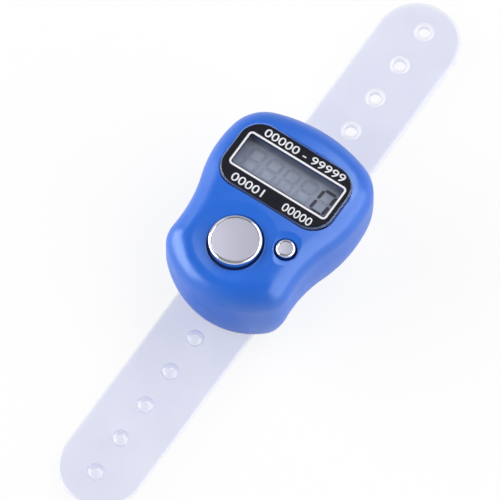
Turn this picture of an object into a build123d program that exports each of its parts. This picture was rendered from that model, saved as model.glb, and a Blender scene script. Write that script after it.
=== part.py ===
"""Finger tally counter on a clear moulded strap.

A pick-shaped plastic case holds a five-digit display, a large count button, a small reset button,
a circuit board and a button cell. The strap runs along a groove in the rear cover, under two bridges.

Millimetres. +Z is up through the display, +Y points to the strap's holed end, and the origin lies on
the surface that the case rests on, under the middle of the case.
"""

import os
from math import sqrt

from build123d import *

# Case outline, seen from above
case_length = 36.9
case_width = 28.6
waist_width = 23.5
widest_y = 7.5
waist_y = -7.6
head_arc_radius = 28.4
flank_arc_radius = 22.6
foot_arc_excess = 3.4
shoulder_radius = 7.4
lobe_radius = 5.0

# Case side profile and walls
belly_radius = 24.0
skirt_height = 8.2
crown_radius = 90.0
crown_y = 0.8
top_edge_radius = 4.4
base_edge_radius = 0.5
wall = 2.0
roof = 1.0

# Rear cover
bridge_thickness = 1.2
bridge_length = 4.5
bridge_y = 6.3
cover_floor = 2.2
cover_draft = 1.4
lip_height = 1.0
lip_thickness = 0.8
screw_pad_height = 1.5
screw_pad_radius = 1.9
cell_well_wall = 0.8
cell_well_height = 2.0

# Strap, one soft moulding that folds where it leaves the case
strap_length = 111.0
strap_shift = -1.2
strap_width = 15.2
strap_thickness = 1.0
fold_inset = 0.55
hole_count = 4
hole_radius = 1.05
hole_collar_radius = 1.8
hole_collar_height = 0.3
hole_end_margin = 5.4
stud_count = 5
stud_first_gap = 3.2
stud_stem_radius = 1.0
stud_stem_height = 0.8
stud_head_radius = 1.55
stud_head_height = 1.2
stud_end_margin = 5.6

# Label panel: a clear lens over a black printed film, with a window for the display
label_side_margin = 3.2
label_head_margin = 5.4
label_foot_y = -0.05
label_corner = 4.2
lens_thickness = 0.8
lens_bevel = 0.3
lens_sink = 0.3
film_thickness = 0.1
window_side_margin = 1.7
window_end_margin = 3.475
window_corner = 0.4
window_rise = 0.5
window_margin = 0.3

# Display glass
lcd_side_margin = 0.8
lcd_end_margin = 0.925
lcd_ledge = 2.2
glass_thickness = 0.55
polariser_thickness = 0.2
polariser_margin = 0.4
holder_wall = 0.5
holder_rest = 0.8
zebra_end_margin = 1.2
zebra_width = 1.4

# Buttons and the rubber domes under them
count_x = -0.4
count_head_y = -3.65
count_foot_margin = 5.5
count_rise = 1.6
count_travel = 0.8
count_rim = 0.5
count_flange = 0.35
count_stem_inset = 2.45
count_dome_inset = 0.15
count_pill_inset = 0.3
dish_drop = 0.6
dish_radius = 7.4
dish_depth = 1.1
dish_crest_radius = 3.0
reset_x = 7.5
reset_y = -4.8
reset_radius = 1.7
reset_rise = 0.75
reset_travel = 0.6
reset_rim = 0.4
reset_flange = 0.4
reset_stem_radius = 0.8
reset_dome_radius = 2.3
reset_pill_radius = 0.9
reset_dish_radius = 3.1
reset_dish_depth = 0.45
reset_crest_radius = 1.0
hole_edge_radius = 0.2
button_skin = 0.9
flange_thickness = 0.9
disc_recess = 0.12
dome_wall = 0.45
dome_foot = 0.5
pill_thickness = 0.5
pill_air = 0.1

# Circuit board and what is soldered to it
board_thickness = 0.8
component_height = 5.25
contact_space = 1.35
blob_height = 1.2
chip_length = 1.6
chip_width = 0.8
capacitor_height = 0.8
resistor_height = 0.45
chip_edge_margin = 1.45
capacitor_y = -4.8
resistor_y = -7.8

# Button cell and its contacts
cell_radius = 5.8
cell_height = 5.4
cell_cap_radius = 4.6
cell_cap_height = 0.35
cell_y = 3.3
contact_thickness = 0.2
negative_width = 3.0
negative_length = 6.0
negative_foot = 1.6
positive_width = 4.0
positive_foot = 1.8
positive_overlap = 2.2

# Screws
head_boss_x = 6.0
head_boss_inset = 4.95
foot_boss_x = 5.2
foot_boss_inset = 5.4
boss_radius = 1.5
case_screw_radius = 0.75
case_screw_length = 6.0
case_screw_head_radius = 1.3
case_screw_head_height = 0.8
post_x = 4.4
post_y = -1.9
post_radius = 1.3
board_screw_radius = 0.5
board_screw_length = 3.6
board_screw_head_radius = 1.0
board_screw_head_height = 0.6
drive_slot_width = 0.3
drive_slot_share = 0.7
drive_slot_depth = 0.35

# Clearances
strap_gap = 0.3
strap_side_gap = 0.4
fold_gap = 0.15
lip_gap = 0.1
label_gap = 0.25
lcd_gap = 0.15
board_gap = 0.4
boss_gap = 0.3
blob_gap = 0.2
button_gap = 0.3
button_play = 0.1
cell_gap = 0.2
thread_gap = 0.03
screw_hole_gap = 0.2
screw_head_gap = 0.2

# Heights of the stack, from the resting surface upwards
strap_z = bridge_thickness + strap_gap
slot_top_z = strap_z + strap_thickness + strap_gap
parting_z = slot_top_z
floor_z = slot_top_z + cover_floor
widest_z = parting_z + skirt_height
pad_top_z = floor_z + screw_pad_height
cell_top_z = floor_z + cell_height
board_z = cell_top_z + contact_space
board_top_z = board_z + board_thickness
ceiling_z = board_top_z + component_height
seat_z = ceiling_z + roof
lens_z = seat_z + film_thickness
lens_top_z = lens_z + lens_thickness
crown_z = lens_top_z + lens_sink
flange_top_z = ceiling_z - button_play
flange_z = flange_top_z - flange_thickness

# Places worked out from the sizes above
half_length = case_length / 2
half_width = case_width / 2
half_waist = waist_width / 2
foot_arc_radius = half_waist + foot_arc_excess
label_width = case_width - 2 * label_side_margin
label_height = half_length - label_head_margin - label_foot_y
label_y = label_foot_y + label_height / 2
window_width = label_width - 2 * window_side_margin
window_height = label_height - 2 * window_end_margin
lcd_width = window_width + 2 * lcd_side_margin
lcd_height = window_height + 2 * lcd_end_margin
zebra_length = lcd_width - 2 * zebra_end_margin
count_radius = (half_length - count_foot_margin + count_head_y) / 2
count_y = count_head_y - count_radius
count_stem_radius = count_radius - count_stem_inset
count_dome_radius = count_radius - count_dome_inset
count_pill_radius = count_stem_radius - count_pill_inset
blob_radius = lcd_height / 2 - holder_rest - blob_gap
chip_x = chip_edge_margin + wall + board_gap - half_waist
fold_y = half_length - fold_inset
fold_axis_z = strap_z + strap_thickness / 2
hole_end_y = strap_shift + strap_length / 2
stud_end_y = strap_shift - strap_length / 2
stud_span = -stud_end_y - stud_end_margin - fold_y - stud_first_gap
fasten_pitch = stud_span / (stud_count - 1)
hole_ys = [hole_end_y - hole_end_margin - i * fasten_pitch for i in range(hole_count)]
stud_ys = [stud_end_y + stud_end_margin + i * fasten_pitch for i in range(stud_count)]
window_y = label_y + window_rise
lcd_foot_y = window_y - lcd_height / 2
zebra_y = lcd_foot_y - lcd_ledge / 2
head_boss_y = half_length - head_boss_inset
foot_boss_y = foot_boss_inset - half_length
boss_points = [
    (-head_boss_x, head_boss_y),
    (head_boss_x, head_boss_y),
    (-foot_boss_x, foot_boss_y),
    (foot_boss_x, foot_boss_y),
]
post_points = [(-post_x, post_y), (post_x, post_y)]
groove_width = strap_width + 2 * strap_side_gap
head_seat_z = pad_top_z - (screw_pad_height - case_screw_head_height / 2)


def crossings(centre_a, radius_a, centre_b, radius_b):
    """Both points where two circles cross."""
    apart = centre_b - centre_a
    along = apart.normalized()
    across = Vector(-along.Y, along.X)
    foot = (radius_a**2 - radius_b**2 + apart.length**2) / (2 * apart.length)
    rise = sqrt(radius_a**2 - foot**2)
    return [centre_a + along * foot + across * rise, centre_a + along * foot - across * rise]


def towards(centre, target, distance):
    """The point at a distance from a centre, on the way to a target."""
    return centre + (target - centre).normalized() * distance


def arc_about(centre, start, end, side):
    """The short arc of a circle between two of its points, on the right (1) or mirrored (-1)."""
    middle = towards(centre, (start + end) * 0.5, (start - centre).length)
    ThreePointArc(*[(side * point.X, point.Y) for point in (start, middle, end)])


def belly_inset(z):
    """How far the case has drawn in from its widest line, on the belly's circle, at a height."""
    return belly_radius - sqrt(belly_radius**2 - (widest_z - z) ** 2)


def crown_place(x, y):
    """A point on the domed top and the outward direction there."""
    centre = Vector(0, crown_y, crown_z - crown_radius)
    rise = sqrt(crown_radius**2 - x**2 - (y - crown_y) ** 2)
    point = Vector(x, y, centre.Z + rise)
    return point, (point - centre).normalized()


def dish_sphere(x, y, radius, depth):
    """Centre and radius of the ball that hollows a round dish of this size into the domed top."""
    point, outward = crown_place(x, y)
    dome = crown_radius - sqrt(crown_radius**2 - radius**2)
    hollow = depth - dome
    ball = (radius**2 + hollow**2) / (2 * hollow)
    return point + outward * (ball - depth), ball


# Case outline: a chain of tangent arcs round each side. The flank and the waist are stationary at
# their own widths, which fixes the waist's radius, and the two corners touch the arcs on either side.
width_step = half_width - half_waist
flank_to_waist = (width_step**2 + (widest_y - waist_y) ** 2) / (2 * width_step)
waist_arc_radius = flank_to_waist - flank_arc_radius
head_centre = Vector(0, half_length - head_arc_radius)
flank_centre = Vector(half_width - flank_arc_radius, widest_y)
waist_centre = Vector(half_waist + waist_arc_radius, waist_y)
foot_centre = Vector(0, foot_arc_radius - half_length)
shoulder_centre = max(
    crossings(
        head_centre,
        head_arc_radius - shoulder_radius,
        flank_centre,
        flank_arc_radius - shoulder_radius,
    ),
    key=lambda point: point.X,
)
lobe_centre = min(
    crossings(
        waist_centre,
        waist_arc_radius + lobe_radius,
        foot_centre,
        foot_arc_radius - lobe_radius,
    ),
    key=lambda point: point.Y,
)


def case_section(inset):
    """The case outline drawn in by a parallel distance: every arc keeps its centre."""
    head_end = towards(head_centre, shoulder_centre, head_arc_radius - inset)
    flank_start = towards(flank_centre, shoulder_centre, flank_arc_radius - inset)
    flank_end = towards(flank_centre, waist_centre, flank_arc_radius - inset)
    waist_end = towards(waist_centre, lobe_centre, waist_arc_radius + inset)
    foot_end = towards(foot_centre, lobe_centre, foot_arc_radius - inset)
    with BuildLine() as chain:
        for side in (1, -1):
            arc_about(shoulder_centre, head_end, flank_start, side)
            arc_about(flank_centre, flank_start, flank_end, side)
            arc_about(waist_centre, flank_end, waist_end, side)
            arc_about(lobe_centre, waist_end, foot_end, side)
        ThreePointArc(head_end, (0, half_length - inset), (-head_end.X, head_end.Y))
        ThreePointArc(foot_end, (0, inset - half_length), (-foot_end.X, foot_end.Y))
    make_face(chain.edges())


with BuildPart() as front_case:
    # Upper wall under a domed top, with a broad rounded edge
    with BuildSketch(Plane.XY.offset(widest_z)):
        case_section(0)
    extrude(amount=crown_z - widest_z)
    with Locations((0, crown_y, crown_z - crown_radius)):
        Sphere(crown_radius, rotation=(90, 0, 0), mode=Mode.INTERSECT)
    fillet(front_case.faces().sort_by(Axis.Z)[-1].edges(), radius=top_edge_radius)
    # Skirt that draws in to the parting line
    for share in (0, 0.5, 1):
        level = widest_z - share * skirt_height
        with BuildSketch(Plane.XY.offset(level)):
            case_section(belly_inset(level))
    loft()
    # Thumb dish around the count button and a small one around the reset button
    for x, y, radius, depth, crest_radius in (
        (count_x, count_y - dish_drop, dish_radius, dish_depth, dish_crest_radius),
        (reset_x, reset_y, reset_dish_radius, reset_dish_depth, reset_crest_radius),
    ):
        centre, ball = dish_sphere(x, y, radius, depth)
        with Locations(centre):
            Sphere(ball, rotation=(90, 0, 0), mode=Mode.SUBTRACT)
        fillet(front_case.edges(Select.LAST), radius=crest_radius)
    # Hollow inside
    with BuildSketch(Plane.XY.offset(parting_z)):
        case_section(wall)
    extrude(amount=ceiling_z - parting_z, mode=Mode.SUBTRACT)
    # Recess for the label panel and the window behind it
    with BuildSketch(Plane.XY.offset(seat_z)):
        with Locations((0, label_y)):
            RectangleRounded(
                label_width + 2 * label_gap, label_height + 2 * label_gap, label_corner + label_gap
            )
    extrude(amount=crown_z - seat_z, mode=Mode.SUBTRACT)
    with BuildSketch(Plane.XY.offset(ceiling_z)):
        with Locations((0, window_y)):
            Rectangle(window_width + 2 * window_margin, window_height + 2 * window_margin)
    extrude(amount=roof, mode=Mode.SUBTRACT)
    # Button holes
    with BuildSketch(Plane.XY.offset(ceiling_z)):
        with Locations((count_x, count_y)):
            Circle(count_radius + button_gap)
        with Locations((reset_x, reset_y)):
            Circle(reset_radius + button_gap)
    extrude(amount=crown_z - ceiling_z, mode=Mode.SUBTRACT)
    hole_edges = front_case.edges(Select.LAST).filter_by(GeomType.BSPLINE)
    fillet(hole_edges, radius=hole_edge_radius)
    # Screw bosses for the rear cover and posts for the circuit board
    with BuildSketch(Plane.XY.offset(pad_top_z)):
        with Locations(*boss_points):
            Circle(boss_radius)
    extrude(amount=ceiling_z - pad_top_z)
    with BuildSketch(Plane.XY.offset(board_top_z)):
        with Locations(*post_points):
            Circle(post_radius)
    extrude(amount=ceiling_z - board_top_z)
    with BuildSketch(Plane.XY.offset(pad_top_z)):
        with Locations(*boss_points):
            Circle(case_screw_radius + thread_gap)
    extrude(amount=case_screw_length, mode=Mode.SUBTRACT)
    with BuildSketch(Plane.XY.offset(board_top_z)):
        with Locations(*post_points):
            Circle(board_screw_radius + thread_gap)
    extrude(amount=board_screw_length, mode=Mode.SUBTRACT)


with BuildPart() as rear_cover:
    # Outside that drafts in from the parting line to the resting face, out of sight from above
    for level, draft in ((parting_z, 0), (0, cover_draft)):
        with BuildSketch(Plane.XY.offset(level)):
            case_section(belly_inset(parting_z) + draft)
    loft()
    fillet(rear_cover.faces().sort_by(Axis.Z)[0].edges(), radius=base_edge_radius)
    # Floor and a lip that locate the cover inside the front case
    with BuildSketch(Plane.XY.offset(parting_z)):
        case_section(wall + lip_gap)
    extrude(amount=floor_z - parting_z + lip_height)
    with BuildSketch(Plane.XY.offset(floor_z)):
        case_section(wall + lip_gap + lip_thickness)
    extrude(amount=lip_height, mode=Mode.SUBTRACT)
    # Pads under the screw bosses and a well round the button cell
    with BuildSketch(Plane.XY.offset(floor_z)):
        with Locations(*boss_points):
            Circle(screw_pad_radius)
    extrude(amount=screw_pad_height)
    with BuildSketch(Plane.XY.offset(floor_z)):
        with Locations((0, cell_y)):
            Circle(cell_radius + cell_gap + cell_well_wall)
            Circle(cell_radius + cell_gap, mode=Mode.SUBTRACT)
        with Locations((0, cell_y + cell_radius)):
            Rectangle(positive_width + 2 * cell_gap, cell_radius, mode=Mode.SUBTRACT)
    extrude(amount=cell_well_height)
    # Strap groove, roofed by the cover's floor and closed below by two bridges
    with BuildSketch(Plane.XY.offset(bridge_thickness)):
        Rectangle(groove_width, case_length)
    extrude(amount=slot_top_z - bridge_thickness, mode=Mode.SUBTRACT)
    with BuildSketch():
        Rectangle(groove_width, case_length)
        with Locations((0, bridge_y), (0, -bridge_y)):
            Rectangle(groove_width, bridge_length, mode=Mode.SUBTRACT)
    extrude(amount=bridge_thickness, mode=Mode.SUBTRACT)
    # Counterbored screw holes in the roof of the groove
    with BuildSketch(Plane.XY.offset(slot_top_z)):
        with Locations(*boss_points):
            Circle(case_screw_head_radius + screw_head_gap)
    extrude(amount=head_seat_z - slot_top_z, mode=Mode.SUBTRACT)
    with BuildSketch(Plane.XY.offset(head_seat_z)):
        with Locations(*boss_points):
            Circle(case_screw_radius + screw_hole_gap)
    extrude(amount=pad_top_z - head_seat_z, mode=Mode.SUBTRACT)


def label_sheet(z, thickness, window):
    """One layer of the label panel, with or without the display window."""
    with BuildPart() as sheet:
        with BuildSketch(Plane.XY.offset(z)):
            with Locations((0, label_y)):
                RectangleRounded(label_width, label_height, label_corner)
            if window:
                with Locations((0, window_y)):
                    RectangleRounded(window_width, window_height, window_corner, mode=Mode.SUBTRACT)
        extrude(amount=thickness)
        if not window:
            chamfer(sheet.faces().sort_by(Axis.Z)[-1].edges(), length=lens_bevel)
    return sheet.part


def plate(x, y, z, width, height, thickness):
    """A flat rectangular piece standing on height z, centred on x and y."""
    with BuildPart() as sheet:
        with BuildSketch(Plane.XY.offset(z)):
            with Locations((x, y)):
                Rectangle(width, height)
        extrude(amount=thickness)
    return sheet.part


# Display glass, from the front: polariser, front glass with a contact ledge, rear glass, reflector
polariser_z = ceiling_z - button_play - polariser_thickness
front_glass_z = polariser_z - glass_thickness
rear_glass_z = front_glass_z - glass_thickness
reflector_z = rear_glass_z - polariser_thickness
front_glass_height = lcd_height + lcd_ledge
front_glass_y = window_y - lcd_ledge / 2
sheet_width = lcd_width - 2 * polariser_margin
sheet_height = lcd_height - 2 * polariser_margin
holder_width = lcd_width + 2 * (lcd_gap + holder_wall)
holder_height = front_glass_height + 2 * (lcd_gap + holder_wall)

with BuildPart() as lcd_holder:
    with BuildSketch(Plane.XY.offset(board_top_z)):
        with Locations((0, front_glass_y)):
            Rectangle(holder_width, holder_height)
            Rectangle(
                lcd_width - 2 * holder_rest, front_glass_height - 2 * holder_rest, mode=Mode.SUBTRACT
            )
        with Locations((0, zebra_y)):
            Rectangle(zebra_length + 2 * lcd_gap, zebra_width + 2 * lcd_gap, mode=Mode.SUBTRACT)
    extrude(amount=reflector_z - board_top_z)
    with BuildSketch(Plane.XY.offset(reflector_z)):
        with Locations((0, front_glass_y)):
            Rectangle(holder_width, holder_height)
            Rectangle(lcd_width + 2 * lcd_gap, front_glass_height + 2 * lcd_gap, mode=Mode.SUBTRACT)
    extrude(amount=polariser_z - reflector_z)


with BuildPart() as circuit_board:
    with BuildSketch(Plane.XY.offset(board_z)):
        case_section(wall + board_gap)
        with Locations(*boss_points):
            Circle(boss_radius + boss_gap, mode=Mode.SUBTRACT)
        with Locations(*post_points):
            Circle(board_screw_radius + screw_hole_gap, mode=Mode.SUBTRACT)
    extrude(amount=board_thickness)


with BuildPart() as chip_blob:
    blob_ball = (blob_radius**2 + blob_height**2) / (2 * blob_height)
    with BuildSketch(Plane((0, window_y, board_top_z), x_dir=(1, 0, 0), z_dir=(0, -1, 0))):
        with BuildLine():
            Line((0, 0), (blob_radius, 0))
            RadiusArc((blob_radius, 0), (0, blob_height), -blob_ball)
            Line((0, blob_height), (0, 0))
        make_face()
    revolve(axis=Axis((0, window_y, board_top_z), (0, 0, 1)))


def plated_button(x, y, radius, rise, rim, flange, stem_radius):
    """A hollow cap with a flange inside the case, a bevelled rim and a sunk disc on top.

    The profile is drawn upwards from the flange's underside and revolved about the button's axis.
    """
    point, _ = crown_place(x, y)
    top = point.Z + rise - flange_z
    disc = radius - rim
    with BuildPart() as button:
        with BuildSketch(Plane((x, y, flange_z), x_dir=(1, 0, 0), z_dir=(0, -1, 0))):
            with BuildLine():
                Polyline(
                    (0, 0),
                    (stem_radius, 0),
                    (stem_radius, top - button_skin),
                    (radius - button_skin, top - button_skin),
                    (radius - button_skin, 0),
                    (radius + flange, 0),
                    (radius + flange, flange_thickness),
                    (radius, flange_thickness),
                    (radius, top - rim),
                    (disc + rim / 2, top),
                    (disc, top - disc_recess),
                    (0, top - disc_recess),
                    close=True,
                )
            make_face()
        revolve(axis=Axis((x, y, 0), (0, 0, 1)))
    return button.part


def rubber_dome(x, y, base_radius, stem_radius, pill_radius, travel):
    """A soft dome: a foot ring on the board, a thin cone and a solid crown that holds the pill."""
    height = flange_z - board_top_z
    pill_top = travel + pill_air + pill_thickness
    crown_edge = pill_radius + dome_wall
    with BuildPart() as dome:
        with BuildSketch(Plane((x, y, board_top_z), x_dir=(1, 0, 0), z_dir=(0, -1, 0))):
            with BuildLine():
                Polyline(
                    (0, pill_top),
                    (crown_edge, pill_top),
                    (base_radius - dome_wall, dome_foot),
                    (base_radius - dome_wall, 0),
                    (base_radius, 0),
                    (base_radius, dome_foot),
                    (crown_edge, pill_top + dome_wall),
                    (stem_radius, height),
                    (0, height),
                    close=True,
                )
            make_face()
        revolve(axis=Axis((x, y, 0), (0, 0, 1)))
    return dome.part


def contact_pill(x, y, radius, travel):
    """The conductive disc under a dome, just clear of the board at full travel."""
    with BuildPart() as pill:
        with BuildSketch(Plane.XY.offset(board_top_z + travel + pill_air)):
            with Locations((x, y)):
                Circle(radius)
        extrude(amount=pill_thickness)
    return pill.part


with BuildPart() as button_cell:
    with BuildSketch(Plane.XY.offset(floor_z)):
        with Locations((0, cell_y)):
            Circle(cell_radius)
    extrude(amount=cell_height - cell_cap_height)
    with BuildSketch(Plane.XY.offset(cell_top_z - cell_cap_height)):
        with Locations((0, cell_y)):
            Circle(cell_cap_radius)
    extrude(amount=cell_cap_height)


with BuildPart() as negative_spring:
    # Foot on the board, then a leaf that slopes down to the cell's cap and lies flat on it
    start_y = cell_y - negative_length / 2
    foot_z = board_z - contact_thickness / 2
    tip_z = cell_top_z + contact_thickness / 2
    with BuildSketch(Plane.YZ.offset(-negative_width / 2)):
        with BuildLine():
            Polyline(
                (start_y, foot_z),
                (start_y + negative_foot, foot_z),
                (start_y + negative_length - negative_foot, tip_z),
                (start_y + negative_length, tip_z),
            )
        trace(line_width=contact_thickness)
    extrude(amount=negative_width)


with BuildPart() as positive_clip:
    # Foot on the board and a leg down the side of the cell
    leg_y = cell_y + cell_radius + contact_thickness / 2
    foot_z = board_z - contact_thickness / 2
    with BuildSketch(Plane.YZ.offset(-positive_width / 2)):
        with BuildLine():
            Polyline(
                (leg_y + positive_foot, foot_z),
                (leg_y, foot_z),
                (leg_y, cell_top_z - positive_overlap),
            )
        trace(line_width=contact_thickness)
    extrude(amount=positive_width)


def screws(points, seat, radius, length, head_radius, head_height):
    """Pan-head screws that point up from the height of their seat, with a cross slot in each head."""
    slot_length = 2 * head_radius * drive_slot_share
    with BuildPart() as group:
        with BuildSketch(Plane.XY.offset(seat)):
            with Locations(*points):
                Circle(radius)
        extrude(amount=length)
        with BuildSketch(Plane.XY.offset(seat - head_height)):
            with Locations(*points):
                Circle(head_radius)
        extrude(amount=head_height)
        with BuildSketch(Plane.XY.offset(seat - head_height)):
            with Locations(*points):
                Rectangle(slot_length, drive_slot_width)
                Rectangle(drive_slot_width, slot_length)
        extrude(amount=drive_slot_depth, mode=Mode.SUBTRACT)
    return group.part


with BuildPart() as strap_centre:
    # The stretch inside the case, up to the fold at each mouth
    with BuildSketch(Plane.XY.offset(strap_z)):
        Rectangle(strap_width, 2 * (fold_y - strap_thickness / 2 - fold_gap))
    extrude(amount=strap_thickness)


def strap_half(end_y):
    """A strap end from its fold line to its round tip, with a rounded edge on the fold line."""
    side = 1 if end_y > 0 else -1
    straight = abs(end_y) - strap_width / 2 - fold_y
    with BuildPart() as half:
        with BuildSketch(Plane.XY.offset(strap_z)):
            with Locations((0, side * (fold_y + straight / 2))):
                Rectangle(strap_width, straight)
            with Locations((0, side * (fold_y + straight))):
                Circle(strap_width / 2)
        extrude(amount=strap_thickness)
        with BuildSketch(Plane.YZ.offset(-strap_width / 2)):
            with Locations((side * fold_y, fold_axis_z)):
                Circle(strap_thickness / 2)
        extrude(amount=strap_width)
    return half.part


with BuildPart() as strap_hole_half:
    add(strap_half(hole_end_y))
    with BuildSketch(Plane.XY.offset(strap_z + strap_thickness)):
        with Locations(*[(0, y) for y in hole_ys]):
            Circle(hole_collar_radius)
    extrude(amount=hole_collar_height)
    with BuildSketch(Plane.XY.offset(strap_z)):
        with Locations(*[(0, y) for y in hole_ys]):
            Circle(hole_radius)
    extrude(amount=strap_thickness + hole_collar_height, mode=Mode.SUBTRACT)


with BuildPart() as strap_stud_half:
    add(strap_half(stud_end_y))
    head_ball = (stud_head_radius**2 + stud_head_height**2) / (2 * stud_head_height)
    stud_height = stud_stem_height + stud_head_height
    for y in stud_ys:
        with BuildSketch(Plane((0, y, strap_z + strap_thickness), x_dir=(1, 0, 0), z_dir=(0, -1, 0))):
            with BuildLine():
                Polyline(
                    (0, stud_height),
                    (0, 0),
                    (stud_stem_radius, 0),
                    (stud_stem_radius, stud_stem_height),
                    (stud_head_radius, stud_stem_height),
                )
                RadiusArc((stud_head_radius, stud_stem_height), (0, stud_height), -head_ball)
            make_face()
        revolve(axis=Axis((0, y, 0), (0, 0, 1)))


pieces = {
    "front_case": front_case.part,
    "rear_cover": rear_cover.part,
    "display_lens": label_sheet(lens_z, lens_thickness, window=False),
    "label_film": label_sheet(seat_z, film_thickness, window=True),
    "lcd_front_polariser": plate(
        0, window_y, polariser_z, sheet_width, sheet_height, polariser_thickness
    ),
    "lcd_front_glass": plate(
        0, front_glass_y, front_glass_z, lcd_width, front_glass_height, glass_thickness
    ),
    "lcd_rear_glass": plate(0, window_y, rear_glass_z, lcd_width, lcd_height, glass_thickness),
    "lcd_reflector": plate(0, window_y, reflector_z, sheet_width, sheet_height, polariser_thickness),
    "lcd_holder": lcd_holder.part,
    "zebra_strip": plate(
        0, zebra_y, board_top_z, zebra_length, zebra_width, front_glass_z - board_top_z
    ),
    "circuit_board": circuit_board.part,
    "chip_blob": chip_blob.part,
    "chip_capacitor": plate(chip_x, capacitor_y, board_top_z, chip_length, chip_width, capacitor_height),
    "chip_resistor": plate(chip_x, resistor_y, board_top_z, chip_length, chip_width, resistor_height),
    "count_button": plated_button(
        count_x,
        count_y,
        count_radius,
        count_rise - dish_depth,
        count_rim,
        count_flange,
        count_stem_radius,
    ),
    "count_dome": rubber_dome(
        count_x, count_y, count_dome_radius, count_stem_radius, count_pill_radius, count_travel
    ),
    "count_pill": contact_pill(count_x, count_y, count_pill_radius, count_travel),
    "reset_button": plated_button(
        reset_x,
        reset_y,
        reset_radius,
        reset_rise - reset_dish_depth,
        reset_rim,
        reset_flange,
        reset_stem_radius,
    ),
    "reset_dome": rubber_dome(
        reset_x, reset_y, reset_dome_radius, reset_stem_radius, reset_pill_radius, reset_travel
    ),
    "reset_pill": contact_pill(reset_x, reset_y, reset_pill_radius, reset_travel),
    "button_cell": button_cell.part,
    "negative_spring": negative_spring.part,
    "positive_clip": positive_clip.part,
    "case_screws": screws(
        boss_points,
        head_seat_z,
        case_screw_radius,
        case_screw_length,
        case_screw_head_radius,
        case_screw_head_height,
    ),
    "board_screws": screws(
        post_points,
        board_z,
        board_screw_radius,
        board_screw_length,
        board_screw_head_radius,
        board_screw_head_height,
    ),
    "strap_centre": strap_centre.part,
    "strap_hole_half": strap_hole_half.part,
    "strap_stud_half": strap_stud_half.part,
}

os.makedirs("parts", exist_ok=True)
for name, piece in pieces.items():
    piece.label = name
    export_step(piece, f"parts/{name}.step")
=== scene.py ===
# %% [markdown]
# A finger tally counter: a small blue case with a five-digit display and two plated buttons, on a
# clear strap. The CAD model gives every size and joint, so this lesson loads it first and dresses
# it in place. Lengths are written in millimetres, and MM turns them into Blender's metres.

import bmesh
import bpy
import numpy as np
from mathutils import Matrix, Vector


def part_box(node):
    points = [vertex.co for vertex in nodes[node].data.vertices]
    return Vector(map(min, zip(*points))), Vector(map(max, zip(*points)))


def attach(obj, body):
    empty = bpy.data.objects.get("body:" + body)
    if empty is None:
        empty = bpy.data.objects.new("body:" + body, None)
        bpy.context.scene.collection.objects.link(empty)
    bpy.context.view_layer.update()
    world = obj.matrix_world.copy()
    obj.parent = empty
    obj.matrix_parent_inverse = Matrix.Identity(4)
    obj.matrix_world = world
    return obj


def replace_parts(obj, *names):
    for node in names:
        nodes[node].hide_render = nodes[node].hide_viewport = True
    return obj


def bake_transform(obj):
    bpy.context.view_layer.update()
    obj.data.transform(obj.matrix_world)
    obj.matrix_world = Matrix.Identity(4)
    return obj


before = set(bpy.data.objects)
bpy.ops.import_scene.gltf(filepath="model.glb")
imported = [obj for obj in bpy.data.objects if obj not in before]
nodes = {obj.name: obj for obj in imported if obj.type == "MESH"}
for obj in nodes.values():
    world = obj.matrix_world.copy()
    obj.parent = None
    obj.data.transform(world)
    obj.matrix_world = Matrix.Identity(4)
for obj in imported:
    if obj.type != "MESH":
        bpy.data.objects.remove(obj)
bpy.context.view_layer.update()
MM = 0.001

# %% [markdown]
# The photograph looks down on the counter from its lower right, from far enough away that the strap
# hardly narrows. A long lens at a distance gives that. The camera's place could be typed in, but two
# angles and the point that it aims at are easier to match, so the place is worked out from those.

# %% Camera at the photograph's angle
camera_azimuth = np.radians(34.0)
camera_elevation = np.radians(65.1)
camera_distance = 3000.0 * MM
nearest_seen = 10 * MM
view_width = 84.75 * MM
aim_point = Vector((1.12, -6.09, 13.57)) * MM

towards_camera = Vector((
    np.sin(camera_azimuth) * np.cos(camera_elevation),
    -np.cos(camera_azimuth) * np.cos(camera_elevation),
    np.sin(camera_elevation),
))
camera_data = bpy.data.cameras.new("photo_camera")
camera_data.lens = camera_data.sensor_width * camera_distance / view_width
camera_data.clip_start = nearest_seen
camera = bpy.data.objects.new("photo_camera", camera_data)
camera.location = aim_point + towards_camera * camera_distance
camera.rotation_mode = "QUATERNION"
camera.rotation_quaternion = towards_camera.to_track_quat("Z", "Y")
bpy.context.collection.objects.link(camera)
bpy.context.scene.camera = camera
bpy.context.scene.view_settings.view_transform = "Standard"
print("camera at (mm):", [round(v / MM, 1) for v in camera.location])

# %% [markdown]
# Every material below is a small node tree. One function adds a node, sets its options, and either
# fills or links its inputs. Another turns a colour from a paint chart, written as sRGB hex, into the
# linear numbers that the shaders work in. Hardly any real surface has one even colour, so a third
# lets a colour wander between two shades.

# %% Node and colour helpers
noise_low = 0.3
noise_high = 0.7


def linear(hex_colour):
    """Linear RGBA of an sRGB hex colour: the sRGB curve undone, channel by channel."""
    channel = np.array([int(hex_colour[i:i + 2], 16) / 255 for i in (1, 3, 5)])
    light = np.where(channel <= 0.04045, channel / 12.92, ((channel + 0.055) / 1.055) ** 2.4)
    return (*light.tolist(), 1.0)


def add(tree, kind, inputs=None, **settings):
    """Adds one node. An input given as a socket is linked, and any other value is set."""
    node = tree.nodes.new(kind)
    for name, value in settings.items():
        setattr(node, name, value)
    for name, value in (inputs or {}).items():
        if isinstance(value, bpy.types.NodeSocket):
            tree.links.new(value, node.inputs[name])
        else:
            node.inputs[name].default_value = value
    return node


def new_material(name):
    """An empty material: its node tree holds only the output node."""
    material = bpy.data.materials.new(name)
    material.use_nodes = True
    tree = material.node_tree
    tree.nodes.clear()
    return material, tree, add(tree, "ShaderNodeOutputMaterial")


def per_metre(wavelength_mm):
    """Texture scale whose features are about this many millimetres apart."""
    return 1 / (wavelength_mm * MM)


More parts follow.
